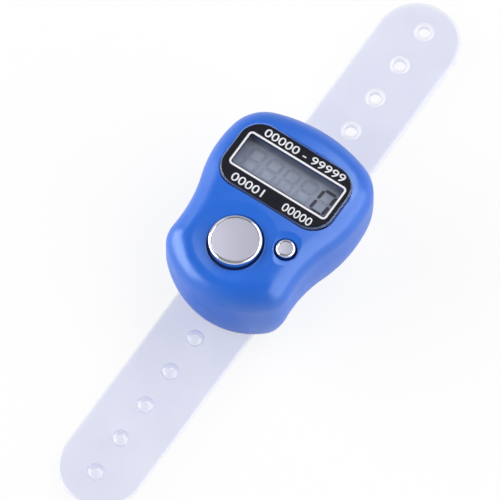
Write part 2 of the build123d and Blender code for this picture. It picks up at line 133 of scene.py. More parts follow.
def mottle(tree, dark, light, grain_mm, detail):
    """A point's place, noise of one grain size there, and a colour that goes from dark to light as
    the noise goes from its usual low to its usual high."""
    place = add(tree, "ShaderNodeTexCoord").outputs["Object"]
    noise = add(tree, "ShaderNodeTexNoise", {
        "Vector": place, "Scale": per_metre(grain_mm), "Detail": detail})
    colour = add(tree, "ShaderNodeValToRGB", {"Fac": noise.outputs["Fac"]})
    for stop, position, shade in zip(colour.color_ramp.elements, (noise_low, noise_high), (dark, light)):
        stop.position = position
        stop.color = linear(shade)
    return place, noise.outputs["Fac"], colour.outputs["Color"]


def dress(material, *names):
    """Gives CAD nodes their material, in place of the plain one they came with."""
    for name in names:
        nodes[name].data.materials.clear()
        nodes[name].data.materials.append(material)
    print(material.name, "on", ", ".join(names))


print("sRGB #808080 in linear light:", round(linear("#808080")[0], 3))

# %% [markdown]
# Case and rear cover are injection-moulded ABS, coloured right through and polished by the mould.
# The eye gets a saturated blue under a clear, slightly wavy gloss. A painted picture could give that,
# but noise has no seams on a round shape. The waviness is a soft bump a few millimetres long, and
# faint handling marks vary the roughness.

# %% Glossy blue ABS of the case
case_blue, tree, out = new_material("moulded_glossy_blue_abs")
place, _, blue = mottle(tree, "#135FCC", "#1965D2", grain_mm=9.0, detail=2.0)
marks = add(tree, "ShaderNodeTexNoise", {"Vector": place, "Scale": per_metre(1.6), "Detail": 5.0})
gloss = add(tree, "ShaderNodeMapRange", {
    "Value": marks.outputs["Fac"], "From Min": noise_low, "From Max": noise_high,
    "To Min": 0.28, "To Max": 0.36})
peel = add(tree, "ShaderNodeTexNoise", {"Vector": place, "Scale": per_metre(3.0), "Detail": 1.0})
wave = add(tree, "ShaderNodeBump", {"Height": peel.outputs["Fac"], "Strength": 0.05, "Distance": 0.2 * MM})
abs_shader = add(tree, "ShaderNodeBsdfPrincipled", {
    "Base Color": blue, "Roughness": gloss.outputs["Result"], "Normal": wave.outputs["Normal"],
    "IOR": 1.5, "Specular IOR Level": 1.0, "Specular Tint": linear("#E2F4FF")})
tree.links.new(abs_shader.outputs["BSDF"], out.inputs["Surface"])
dress(case_blue, "front_case", "rear_cover")

# %% [markdown]
# New pieces are grids of points worked out with numpy. They could be pushed and pulled by hand from
# ready-made shapes, but a formula says what the shape is and can be changed later. Each patch is an
# array of rows and columns, and neighbouring patches repeat the points of the line where they meet,
# so that welding closes the skin. Faces are turned outwards after that, and shading is smooth except
# over sharp edges.

# %% Mesh helpers
weld_distance = 0.002
sharp_angle = np.radians(35.0)


def grid_faces(rows, columns, closed):
    """Quads between neighbours of a grid. A closed grid also joins its last column to its first."""
    i, j = np.meshgrid(np.arange(rows - 1), np.arange(columns - 1 + closed), indexing="ij")
    k = (j + 1) % columns
    corners = (i * columns + j, i * columns + k, (i + 1) * columns + k, (i + 1) * columns + j)
    return np.stack(corners, axis=-1).reshape(-1, 4)


def finish_piece(name, mesh, material, body):
    """Welds a mesh, turns its faces outwards, sets its shading and finish, and puts it on a body, or
    on none."""
    weld = bmesh.new()
    weld.from_mesh(mesh)
    bmesh.ops.remove_doubles(weld, verts=weld.verts, dist=weld_distance * MM)
    bmesh.ops.recalc_face_normals(weld, faces=weld.faces)
    open_edges = sum(not edge.is_manifold for edge in weld.edges)
    weld.to_mesh(mesh)
    weld.free()
    mesh.shade_smooth()
    mesh.set_sharp_from_angle(angle=sharp_angle)
    mesh.materials.clear()
    mesh.materials.append(material)
    piece = bpy.data.objects.new(name, mesh)
    bpy.context.collection.objects.link(piece)
    if body:
        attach(piece, body)
    print(name, "faces:", len(mesh.polygons), "open edges:", open_edges)
    return piece


def make_piece(name, patches, material, body, caps=()):
    """A mesh from patches (points in mm, closed or not) and flat caps (loops of points)."""
    points, faces, count = [], [], 0
    for grid, closed in patches:
        rows, columns, _ = grid.shape
        points.append(grid.reshape(-1, 3))
        faces += (grid_faces(rows, columns, closed) + count).tolist()
        count += rows * columns
    for loop in caps:
        points.append(loop)
        faces.append(list(range(count, count + len(loop))))
        count += len(loop)
    mesh = bpy.data.meshes.new(name)
    mesh.from_pydata((np.concatenate(points) * MM).tolist(), [], faces)
    return finish_piece(name, mesh, material, body)


def box_mm(node):
    """A CAD node's lowest and highest corners, in millimetres."""
    low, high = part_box(node)
    return np.array(low) / MM, np.array(high) / MM


print("faces of a closed grid of 3 rows and 4 columns:", len(grid_faces(3, 4, True)))

# %% [markdown]
# The strap is soft clear PVC, moulded flat with fully rounded edges. In the photograph it tints the
# white table a pale lavender. Each face lets most light straight through with a little tint, scatters
# a small share in the haze of the plastic, and reflects what its Fresnel share says. A glass shader
# would bend the light, but letting it straight through keeps the strip even and its shadow on the
# table faint. Round edges and collars gather light and look nearly white, so an attribute marks them
# and the material paints them paler there: a painted highlight.

# %% Clear PVC of the strap
pvc_ior = 1.5
haze_share = 0.14
sheen_roughness = 0.15


def outer_gloss(tree, ior, roughness, **normal):
    """A reflection and its share: the Fresnel share on a face seen from outside, none from within."""
    mirror = add(tree, "ShaderNodeBsdfGlossy", {"Roughness": roughness, **normal})
    fresnel = add(tree, "ShaderNodeFresnel", {"IOR": ior, **normal})
    within = add(tree, "ShaderNodeNewGeometry").outputs["Backfacing"]
    outside = add(tree, "ShaderNodeMath", {0: 1.0, 1: within}, operation="SUBTRACT")
    share = add(tree, "ShaderNodeMath", {
        0: fresnel.outputs["Fac"], 1: outside.outputs[0]}, operation="MULTIPLY")
    return mirror.outputs["BSDF"], share.outputs[0]


strap_clear, tree, out = new_material("moulded_clear_soft_pvc")
place, _, tint = mottle(tree, "#F1F2FA", "#F6F7FD", grain_mm=12.0, detail=3.0)
flow = add(tree, "ShaderNodeTexNoise", {"Vector": place, "Scale": per_metre(4.0), "Detail": 2.0})
sag = add(tree, "ShaderNodeBump", {"Height": flow.outputs["Fac"], "Strength": 0.1, "Distance": 0.3 * MM})
# Painted highlight: where the attribute is high, the tint and the haze colour turn whiter.
painted_highlight = add(tree, "ShaderNodeAttribute", attribute_name="painted_highlight").outputs["Fac"]
clear = add(tree, "ShaderNodeMix", {0: painted_highlight, 6: tint, 7: (1, 1, 1, 1)}, data_type="RGBA")
haze_and_painted_highlight = add(tree, "ShaderNodeMix", {0: painted_highlight, 6: linear("#DBDEEF"), 7: linear("#FAFAFF")}, data_type="RGBA")
through = add(tree, "ShaderNodeBsdfTransparent", {"Color": clear.outputs[2]})
scatter = add(tree, "ShaderNodeBsdfDiffuse", {"Color": haze_and_painted_highlight.outputs[2], "Normal": sag.outputs["Normal"]})
hazy = add(tree, "ShaderNodeMixShader", {
    "Fac": haze_share, 1: through.outputs["BSDF"], 2: scatter.outputs["BSDF"]})
sheen, sheen_share = outer_gloss(tree, pvc_ior, sheen_roughness, Normal=sag.outputs["Normal"])
pvc = add(tree, "ShaderNodeMixShader", {"Fac": sheen_share, 1: hazy.outputs["Shader"], 2: sheen})
tree.links.new(pvc.outputs["Shader"], out.inputs["Surface"])
print(strap_clear.name, "nodes:", len(tree.nodes))

# %% [markdown]
# Each strap end is a row of square blocks, one round every hole or stud, and a plain run that goes
# under the case. Holes could be cut from a flat strip, but that leaves long thin faces, which shade
# and bend badly. A block is a ring instead: circles round its centre spread out into its edges. The
# points on a block's edge are also its neighbour's, so the strip is one skin.

# %% Strap sizes and its rounded section
strap_low, strap_high = box_mm("strap_centre")
half_width = strap_high[0]
half_thickness = (strap_high[2] - strap_low[2]) / 2
strap_level = (strap_high[2] + strap_low[2]) / 2
edge_points = 7
flat_points = 21

round_over = half_thickness * (1 - np.cos(np.linspace(0, np.pi / 2, edge_points)))
flat = np.linspace(-half_width + half_thickness, half_width - half_thickness, flat_points)[1:-1]
across = np.concatenate([-half_width + round_over, flat, (half_width - round_over)[::-1]])
print("points across the strap:", len(across))

# %% Skin and blocks of a strap end
fasten_pitch = 7.5
block_radius = 2.3
side_points = 13
ring_rows = 17


def strap_skin(x, y, end_y, face):
    """Points of the upper (1) or lower (-1) face. Near the outline the height follows a quarter
    circle of the distance d to it: h = sqrt(r^2 - (r - d)^2), so that both faces meet at the edge."""
    arc_y = end_y - half_width
    distance = half_width - np.where(y > arc_y, np.hypot(x, y - arc_y), np.abs(x))
    drop = half_thickness - np.clip(distance, 0, half_thickness)
    height = np.sqrt(half_thickness**2 - drop**2)
    return np.stack([x, y, strap_level + face * height], axis=-1)


def block_outline(centre_y, end_y, last):
    """Points round a block: side, far edge, side, near edge. The last block's far edge is the
    strap's round end."""
    near, far = centre_y - fasten_pitch / 2, centre_y + fasten_pitch / 2
    side_top = end_y - half_width if last else far
    side = np.linspace(near, side_top, side_points)
    side_x = np.full(side_points - 1, half_width)
    turn = np.linspace(0, np.pi, len(across))
    far_x = half_width * np.cos(turn) if last else across[::-1]
    far_y = side_top + half_width * np.sin(turn) if last else np.full(len(across), far)
    x = np.concatenate([side_x, far_x[:-1], -side_x, across[:-1]])
    y = np.concatenate([side[:-1], far_y[:-1], side[:0:-1], np.full(len(across) - 1, near)])
    return x, y


def strap_block(centre_y, end_y, last, profile):
    """A block: a profile of radius and height turned about the block's centre, with a ring on each
    face that carries the profile's first and last circles out to the block's outline."""
    x, y = block_outline(centre_y, end_y, last)
    angle = np.arctan2(y - centre_y, x)
    radius, height = profile.T
    turned_profile = np.stack([
        radius[:, None] * np.cos(angle),
        centre_y + radius[:, None] * np.sin(angle),
        np.broadcast_to(strap_level + height[:, None], (len(radius), len(angle))),
    ], axis=-1)
    spread = np.sin(np.linspace(0, np.pi / 2, ring_rows))[:, None]
    ring_x = block_radius * np.cos(angle) * (1 - spread) + x * spread
    ring_y = (centre_y + block_radius * np.sin(angle)) * (1 - spread) + y * spread
    rings = [strap_skin(ring_x, ring_y, end_y, face) for face in (1, -1)]
    return [(patch, True) for patch in (turned_profile, *rings)]


print("points round a block:", len(block_outline(0, fasten_pitch, False)[0]))

# %% [markdown]
# A hole has a raised collar on its upper face, which stops the strap tearing. A stud is a short stem
# with a domed head that snaps through a hole. Both are round, so each is a profile to be turned: pairs
# of radius and height, measured from the strap's middle level, from the lower face round to the upper
# one. A profile gives every edge its own small radius, which a plain cylinder lacks.

# %% Profiles of a hole and of a stud
hole_radius = 1.05
collar_radius = 1.8
collar_height = 0.3
rim_round = 0.18
stem_radius = 1.0
stem_height = 0.8
head_radius = 1.55
head_height = 1.2
head_round = 0.15

quarter = np.linspace(0, np.pi / 2, 6)
half_turn = np.linspace(np.pi, 0, 13)
dome_turn = np.linspace(0, np.pi / 2, 15)
collar_middle = (hole_radius + collar_radius) / 2
collar_half = (collar_radius - hole_radius) / 2
head_level = half_thickness + stem_height
dome_level = head_level + head_round
hole_profile = np.concatenate([
    [[block_radius, -half_thickness]],
    np.column_stack([hole_radius + rim_round * (1 - np.sin(quarter)),
                     -half_thickness + rim_round * (1 - np.cos(quarter))]),
    np.column_stack([collar_middle + collar_half * np.cos(half_turn),
                     half_thickness + collar_height * np.sin(half_turn)]),
    [[block_radius, half_thickness]],
])
stud_base = np.array([[radius, -half_thickness] for radius in (block_radius, block_radius / 2, 0)])
stud_top = np.concatenate([
    [[block_radius, half_thickness]],
    np.column_stack([stem_radius + rim_round * (1 - np.sin(quarter)),
                     half_thickness + rim_round * (1 - np.cos(quarter))]),
    np.column_stack([head_radius - head_round + head_round * np.sin(quarter),
                     head_level + head_round * (1 - np.cos(quarter))]),
    np.column_stack([head_radius * np.cos(dome_turn),
                     dome_level + (head_height - head_round) * np.sin(dome_turn)]),
])
print("hole profile points:", len(hole_profile), "stud profile points:", len(stud_top))

# %% [markdown]
# The strap's painted highlight needs to know where its edges and collars are. Painting them by hand
# would do, but the distance to the outline and the height over the face say it exactly, so each
# point's share of painted highlight is worked out from those and kept as an attribute of the mesh.

# %% Painted highlight on edges, collars and studs
collar_painted_highlight = 2.0
stud_painted_highlight = 0.3
stud_from = 1.5


def mark_painted_highlight(piece, end_y):
    """Painted highlight of each point: the larger of two values, kept between 0 and 1. The edge gives
    1 - d/r at a distance d inside the outline, where r is its radius. The height over the upper face, as
    a share of a collar's, gives collar_painted_highlight times that share, or past stud_from one low value."""
    points = np.empty(len(piece.data.vertices) * 3)
    piece.data.vertices.foreach_get("co", points)
    x, y, z = points.reshape(-1, 3).T / MM
    arc_y = end_y - half_width
    inside = half_width - np.where(np.abs(y) > arc_y, np.hypot(x, np.abs(y) - arc_y), np.abs(x))
    raised = (z - strap_level - half_thickness) / collar_height
    upwards = np.where(raised > stud_from, stud_painted_highlight, collar_painted_highlight * raised)
    paleness = np.clip(np.maximum(1 - inside / half_thickness, upwards), 0, 1)
    piece.data.attributes.new("painted_highlight", "FLOAT", "POINT").data.foreach_set("value", paleness)
    print(piece.name, "points with a paleness over a half:", int((paleness > 0.5).sum()))


# %% [markdown]
# On the real strap both ends are one strip that passes under two bridges of the cover. It bends just
# outside the case. Each end here is one piece of its own, made in place on no body, and it takes the
# place of the CAD strap pieces.

# %% Both strap ends, from under a bridge of the cover to their round tips
hole_end = box_mm("strap_hole_half")[1][1]
stud_end = -box_mm("strap_stud_half")[0][1]
hole_end_margin = 5.4
stud_end_margin = 5.6
hole_count = 4
stud_count = 5
bridge_middle = 6.3
run_step = 0.4


def strap_end(name, start_y, end_y, margin, count, profiles, side, node_names):
    """One strap end along +Y: a plain run, a face that closes its near end, and the blocks. All of it
    is then mirrored in y where its own side of the case is -1."""
    centres = end_y - margin - fasten_pitch * np.arange(count)[::-1]
    run_end = centres[0] - fasten_pitch / 2
    run_y = np.linspace(start_y, run_end, int((run_end - start_y) / run_step) + 2)
    run_x, run_y = np.meshgrid(across, run_y)
    upper, lower = [strap_skin(run_x, run_y, end_y, face) for face in (1, -1)]
    patches = [(upper, False), (lower, False), (np.stack([upper[0], lower[0]]), False)]
    for centre in centres:
        for number, profile in enumerate(profiles):
            block = strap_block(centre, end_y, centre == centres[-1], profile)
            patches += block if number == 0 else block[:1]
    for grid, _ in patches:
        grid[..., 1] *= side
    piece = make_piece(name, patches, strap_clear, None)
    mark_painted_highlight(piece, end_y)
    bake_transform(piece)
    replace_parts(piece, *node_names)


strap_end("strap_with_holes", bridge_middle, hole_end, hole_end_margin, hole_count, [hole_profile], 1,
          ["strap_hole_half", "strap_centre"])
strap_end("strap_with_studs", -bridge_middle, stud_end, stud_end_margin, stud_count,
          [stud_base, stud_top], -1, ["strap_stud_half"])

# %% [markdown]
# Most of the other materials share one recipe, because most finishes vary in the same three ways: a
# little in colour, a little in gloss and a little in height, at one grain size. Giving each its own
# numbers is shorter than a node tree apiece, and no surface is left a single flat colour.

# %% Recipe for a grained finish
metal = {"Metallic": 1.0}


def grained(name, dark, light, grain_mm, roughness, bump_mm, sockets=None):
    """Noise of one grain size drives colour (dark to light), roughness (low to high) and height. The
    sockets are inputs of the shader that are the same all over."""
    material, tree, out = new_material(name)
    _, grain, colour = mottle(tree, dark, light, grain_mm, detail=4.0)
    gloss = add(tree, "ShaderNodeMapRange", {
        "Value": grain, "From Min": noise_low, "From Max": noise_high,
        "To Min": roughness[0], "To Max": roughness[1]})
    relief = add(tree, "ShaderNodeBump", {"Height": grain, "Strength": 0.5, "Distance": bump_mm * MM})
    shader = add(tree, "ShaderNodeBsdfPrincipled", {
        "Base Color": colour, "Roughness": gloss.outputs["Result"], "Normal": relief.outputs["Normal"],
        **(sockets or {})})
    tree.links.new(shader.outputs["BSDF"], out.inputs["Surface"])
    return material


# %% [markdown]
# Under the lens lies a thin polyester film, screen-printed black, with a window for the display. The
# print is dense and even, with a trace of the screen's texture in its gloss. The CAD film is right in
# shape, so it only needs the finish. White ink is printed on it as a frame and rows of numerals. It
# could be drawn in the film's material, but a thin raised layer keeps a sharp edge at any zoom.

# %% Black film and white ink
film_black = grained("screen_printed_black_polyester", "#090C17", "#10131F", 0.25, (0.35, 0.5), 0.004,
                     {"Specular IOR Level": 0.1})
dress(film_black, "label_film")
ink_white = grained("screen_printed_white_ink", "#E6E6EC", "#F2F2F6", 0.2, (0.45, 0.6), 0.004)

# %% The frame printed round the window
film_low, film_high = box_mm("label_film")
label_centre = (film_low + film_high)[:2] / 2
label_half = (film_high - film_low)[:2] / 2
label_corner = 4.2
window_half = np.array([9.4, 3.075])
window_rise = 0.5
window_centre = label_centre + [0, window_rise]
window_corner = 0.4
frame_gap = 0.14
frame_width = 0.38
frame_corner = 0.8
ink_thickness = 0.02
ink_level = film_high[2]


def rounded_loop(centre, half, corner, level, per_corner=12):
    """Points of a rounded rectangle at one level: each corner is a quarter circle of the given
    radius, about a point that lies that radius in from both sides."""
    number = np.repeat(np.arange(4), per_corner)
    angle = number * np.pi / 2 + np.tile(np.linspace(0, np.pi / 2, per_corner), 4)
    x = centre[0] + np.choose(number, [1, -1, -1, 1]) * (half[0] - corner) + corner * np.cos(angle)
    y = centre[1] + np.choose(number, [1, 1, -1, -1]) * (half[1] - corner) + corner * np.sin(angle)
    return np.column_stack([x, y, np.full(len(x), level)])


inner_half = window_half + frame_gap
outer_half = inner_half + frame_width
outer = [rounded_loop(window_centre, outer_half, frame_corner, ink_level + rise)
         for rise in (0, ink_thickness)]
inner = [rounded_loop(window_centre, inner_half, window_corner, ink_level + rise)
         for rise in (ink_thickness, 0)]
frame_ring = np.stack(outer + inner + outer[:1])
make_piece("printed_window_frame", [(frame_ring, True)], ink_white, "case")

# %% [markdown]
# The rows of marks are plain numerals: the range of the display above the window, and the numbers
# that each button leaves on it below. A text object gives the outlines, which is simpler than drawing
# them. It becomes a mesh first, and numpy then stretches that mesh to the printed width and height.

# %% Printed numerals
numeral_weight = 0.008
numeral_depth = 0.01
numeral_steps = 5
# Name, numerals, left and right end, baseline over the label's centre, height
numeral_rows = (
    ("printed_display_range", "00000 - 99999", -7.7, 8.5, 4.45, 1.55),
    ("printed_count_mark", "00001", -7.85, -1.5, -5.5, 1.6),
    ("printed_reset_mark", "00000", 2.5, 8.3, -5.5, 1.6),
)


def printed_row(name, numerals, left, right, baseline, cap_height):
    """Each coordinate, as a share of the outline's own box, goes to its place in the printed row."""
    curve = bpy.data.curves.new(name, "FONT")
    curve.body = numerals
    curve.offset = numeral_weight
    curve.extrude = numeral_depth
    curve.resolution_u = numeral_steps
    outline = bpy.data.objects.new(name + "_outline", curve)
    bpy.context.collection.objects.link(outline)
    mesh = bpy.data.meshes.new_from_object(outline.evaluated_get(bpy.context.evaluated_depsgraph_get()))
    bpy.data.objects.remove(outline)
    points = np.empty(len(mesh.vertices) * 3)
    mesh.vertices.foreach_get("co", points)
    points = points.reshape(-1, 3)
    low, high = points.min(axis=0), points.max(axis=0)
    size = np.array([right - left, cap_height, ink_thickness])
    points = np.array([left, baseline, ink_level]) + (points - low) / (high - low) * size
    mesh.vertices.foreach_set("co", (points * MM).ravel())
    finish_piece(name, mesh, ink_white, "case")


for name, numerals, left, right, above_centre, cap_height in numeral_rows:
    printed_row(name, numerals, left, right, label_centre[1] + above_centre, cap_height)

# %% [markdown]
# The lens is a clear acrylic panel with a bevel round its top. A glass shader would darken what lies
# under it, so a Fresnel mix of a clear and a glossy shader is used: it shows the print below and a
# thin reflection, and lets light and shadow through untouched. On the bevel a share of pale blue-grey
# diffuse is mixed in, a painted highlight that shows as a fine pale line.

# %% Clear acrylic lens
lens_low, lens_high = box_mm("display_lens")
lens_ior = 1.49
lens_bevel = 0.3
lens_gap = 0.04
bevel_middle = lens_high[2] - lens_bevel / 2
bevel_band = 0.45 * lens_bevel
bevel_highlight_share = 0.3

lens_clear, tree, out = new_material("cast_clear_acrylic")
place = add(tree, "ShaderNodeTexCoord").outputs["Object"]
height = add(tree, "ShaderNodeSeparateXYZ", {"Vector": place}).outputs["Z"]
smudge = add(tree, "ShaderNodeTexNoise", {"Vector": place, "Scale": per_metre(5.0), "Detail": 3.0})
gloss = add(tree, "ShaderNodeMapRange", {"Value": smudge.outputs["Fac"], "To Min": 0.02, "To Max": 0.1})
mirror, mirror_share = outer_gloss(tree, lens_ior, gloss.outputs["Result"])
clear = add(tree, "ShaderNodeBsdfTransparent").outputs["BSDF"]
glass = add(tree, "ShaderNodeMixShader", {"Fac": mirror_share, 1: clear, 2: mirror})
# Painted highlight: a band round the bevel's middle height takes a share of pale blue-grey diffuse.
on_bevel = add(tree, "ShaderNodeMath", {
    0: height, 1: bevel_middle * MM, 2: bevel_band * MM}, operation="COMPARE")
bevel_highlight_mix = add(tree, "ShaderNodeMath", {0: on_bevel.outputs[0], 1: bevel_highlight_share}, operation="MULTIPLY")
painted_bevel_highlight = add(tree, "ShaderNodeBsdfDiffuse", {"Color": linear("#8FA3DC")})
acrylic = add(tree, "ShaderNodeMixShader", {
    "Fac": bevel_highlight_mix.outputs[0], 1: glass.outputs["Shader"], 2: painted_bevel_highlight.outputs["BSDF"]})
tree.links.new(acrylic.outputs["Shader"], out.inputs["Surface"])

lens_profile = [(0, lens_low[2] + lens_gap), (0, lens_high[2] - lens_bevel), (lens_bevel, lens_high[2])]
lens_loops = [rounded_loop(label_centre, label_half - inset, label_corner - inset, level)
              for inset, level in lens_profile]
lens_panel = make_piece("clear_lens_panel", [(np.stack(lens_loops), True)], lens_clear, "case",
                        caps=(lens_loops[0], lens_loops[-1]))
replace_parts(lens_panel, "display_lens")

# %% [markdown]
# The display is a reflective liquid crystal cell. Light goes in through the film and both glasses,
# and comes back from a reflector below them, so what passes close to the window's head or left edge
# is partly cut off. The film looks lavender grey and a little mottled, and that shade darkens it
# towards those edges. Clear glass over a real reflector would take many light bounces to show that.
# Two ramps along x and y paint that shade into the colour instead, for the film and for what
# shows in it.

# %% Display colours with painted shade at the head and left edges
window_left = window_centre[0] - window_half[0]
window_head = window_centre[1] + window_half[1]
shade_from_left = 3.0
shade_from_head = 4.5
darkest_left = 0.62
darkest_head = 0.5
# Painted shade at two edges: axis, the window's edge, where the shade ends, darkest share
painted_edge_shades = (
    ("X", window_left, window_left + shade_from_left, darkest_left),
    ("Y", window_head, window_head - shade_from_head, darkest_head),
)


def display_with_painted_shade(name, dark, light, grain_mm):
    """Mottled colour times two painted shades. Each painted shade is a straight ramp along one axis,
    from its darkest at the window's edge to 1 at a place inside."""
    material, tree, out = new_material(name)
    place, _, colour = mottle(tree, dark, light, grain_mm, detail=3.0)
    axes = add(tree, "ShaderNodeSeparateXYZ", {"Vector": place})
    left, head = [add(tree, "ShaderNodeMapRange", {
        "Value": axes.outputs[axis], "From Min": edge * MM, "From Max": inside * MM,
        "To Min": darkest, "To Max": 1.0}) for axis, edge, inside, darkest in painted_edge_shades]
    both = add(tree, "ShaderNodeMath", {
        0: left.outputs["Result"], 1: head.outputs["Result"]}, operation="MULTIPLY")
    shaded = add(tree, "ShaderNodeVectorMath", {0: colour, "Scale": both.outputs[0]}, operation="SCALE")
    film = add(tree, "ShaderNodeBsdfPrincipled", {"Base Color": shaded.outputs["Vector"], "Roughness": 0.4})
    tree.links.new(film.outputs["BSDF"], out.inputs["Surface"])
    return material


polariser = display_with_painted_shade("laminated_grey_polariser", "#8E96AB", "#A0A9BC", 2.2)
dress(polariser, "lcd_front_polariser")
segment_on = display_with_painted_shade("liquid_crystal_dark", "#2A2B3C", "#343548", 0.6)
segment_off = display_with_painted_shade("liquid_crystal_trace", "#838BA0", "#9199AD", 0.6)

# %% [markdown]
# Segments that are on turn dark, and those that are off leave a faint trace. Each segment is a bar
# with pointed ends, and all of them lean a little to the right. They could be drawn in the film's
# material, but thin bars are easier to place and stay sharp.

# %% Segments of the digits
digit_count = 5
digit_pitch = 3.55
last_digit_x = 7.55
digit_level = window_centre[1] - 0.45
column_half = 1.22
row_step = 2.15
stroke = 0.6
stroke_gap = 0.08
lean = 0.08
segment_rise = 0.02
display_top = box_mm("lcd_front_polariser")[1][2]


def segment(digit_x, column, row, upright):
    """A six-sided bar, square to its row or column, whose ends come to a right-angled point. Leaning
    moves each point to the right by a share of its height."""
    half = (row_step if upright else 2 * column_half) / 2 - stroke_gap
    shoulder = half - stroke / 2
    length = np.array([-half, -shoulder, shoulder, half, shoulder, -shoulder])
    width = np.array([0, 1, 1, 0, -1, -1]) * stroke / 2
    x, y = (width, length) if upright else (length, width)
    y = y + row * row_step
    x = x + digit_x + column * column_half + lean * y
    lower = np.column_stack([x, y + digit_level, np.full(len(x), display_top)])
    return np.stack([lower, lower + [0, 0, segment_rise]])


bars = [(0, row, False) for row in (-1, 0, 1)]
posts = [(column, row, True) for column in (-1, 1) for row in (-0.5, 0.5)]
traces, darks = [], []
for place_number in range(digit_count):
    digit_x = last_digit_x - place_number * digit_pitch
    for column, row, upright in bars + posts:
        lit = place_number == 0 and (column, row) != (0, 0)
        group = darks if lit else traces
        group.append(segment(digit_x, column, row, upright))
for name, group, finish in (("display_digit_on", darks, segment_on),
                            ("display_digits_off", traces, segment_off)):
    caps = [loop for bar in group for loop in bar]
    make_piece(name, [(bar, True) for bar in group], finish, "case", caps=caps)

# %% [markdown]
# Both buttons are caps plated with bright chrome, with a satin metal disc let into the top. A cap
# could be a bevelled cylinder, but a profile turned about its axis gives it all at once: hollow, wall,
# a rounded rim and a shallow seat. The disc is a piece of its own, so that a fine dark line shows
# between it and the rim. So is the dark plunger below, whose flange keeps the cap in the case: only
# its dark edge shows, down in the gap round the cap, and its dark navy colour is painted shade there.

# %% Finishes of the buttons
# Bright chrome is a sharp, nearly white mirror.
chrome = grained("bright_plated_chrome", "#DADCE2", "#E6E8EC", 3.0, (0.06, 0.12), 0.004, metal)
# Blasting leaves fine grit marks that blur the mirror into an even, pale grey.
satin = grained("satin_blasted_nickel", "#B5B5C4", "#BDBDCA", 0.15, (0.5, 0.6), 0.003, metal)
# The plunger is blue ABS with a low shine; its dark navy is painted shade for the gap round the cap.
plunger_painted_dark = grained("blue_abs_painted_dark", "#10286A", "#183074", 1.2, (0.4, 0.55), 0.006)
print("button finishes:", chrome.name, satin.name, plunger_painted_dark.name)

# %% Plated caps, satin discs and dark plungers
button_skin = 0.8
flange_thickness = 0.9
shoulder_share = 0.8
lip_share = 0.2
seat_depth = 0.3
disc_sink = 0.06
disc_edge = 0.1
disc_gap = 0.07
disc_bowl = 0.045


def turned(profile, centre, steps=96):
    """A profile of radius and height carried round a vertical axis, as a closed patch."""
    radius, height = np.array(profile).T
    angle = np.linspace(0, 2 * np.pi, steps, endpoint=False)
    x = centre[0] + radius[:, None] * np.cos(angle)
    y = centre[1] + radius[:, None] * np.sin(angle)
    return np.stack([x, y, np.broadcast_to(height[:, None], x.shape)], axis=-1), True


def plated_button(node, body, flange, rim, plunger_radius):
    """The cap, its plunger and its disc, from the CAD button's own box. The rim is a quarter ellipse
    outside and a small quarter circle inside, and the disc's top is a shallow parabola."""
    low, high = box_mm(node)
    centre = (low + high)[:2] / 2
    radius = (high[0] - low[0]) / 2 - flange
    base, top = low[2], high[2]
    foot, roof, seat = base + flange_thickness, top - button_skin, top - seat_depth
    bore, disc_radius = radius - button_skin, radius - rim
    bend = np.linspace(0, np.pi / 2, 9)
    shoulder = np.column_stack([radius - shoulder_share * rim * (1 - np.cos(bend)),
                                top - rim * (1 - np.sin(bend))])
    lip = np.column_stack([disc_radius + lip_share * rim * np.cos(bend),
                           top - lip_share * rim * np.sin(bend)])
    cap = np.concatenate([
        [(0, roof), (bore, roof), (bore, foot), (radius, foot)],
        shoulder, lip[1:], [(disc_radius, seat), (0, seat)]])
    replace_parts(make_piece(node + "_cap", [turned(cap, centre)], chrome, body), node)

    stem = [(0, base), (plunger_radius, base), (plunger_radius, roof), (0, roof)]
    ring = [(bore, base), (radius + flange, base), (radius + flange, foot), (bore, foot), (bore, base)]
    make_piece(node + "_plunger", [turned(stem, centre), turned(ring, centre)],
               plunger_painted_dark, body)

    edge = disc_radius - disc_gap
    share = np.linspace(1, 0, 13)
    hollow = disc_bowl * edge * (1 - share**2)
    disc = np.concatenate([
        [(0, seat), (edge, seat), (edge, top - disc_sink - disc_edge)],
        np.column_stack([share * (edge - disc_edge), top - disc_sink - hollow])])
    make_piece(node + "_disc", [turned(disc, centre)], satin, body)


plated_button("count_button", "count_key", flange=0.35, rim=0.5, plunger_radius=2.2)
plated_button("reset_button", "reset_key", flange=0.4, rim=0.4, plunger_radius=0.8)

# %% [markdown]
# The pieces inside are never seen with the case shut, but the model can be taken apart, so each has
# the finish that it really has. Most are plain mouldings, pressings and ceramics, whose CAD shapes are
# right, so the recipe is enough for them.

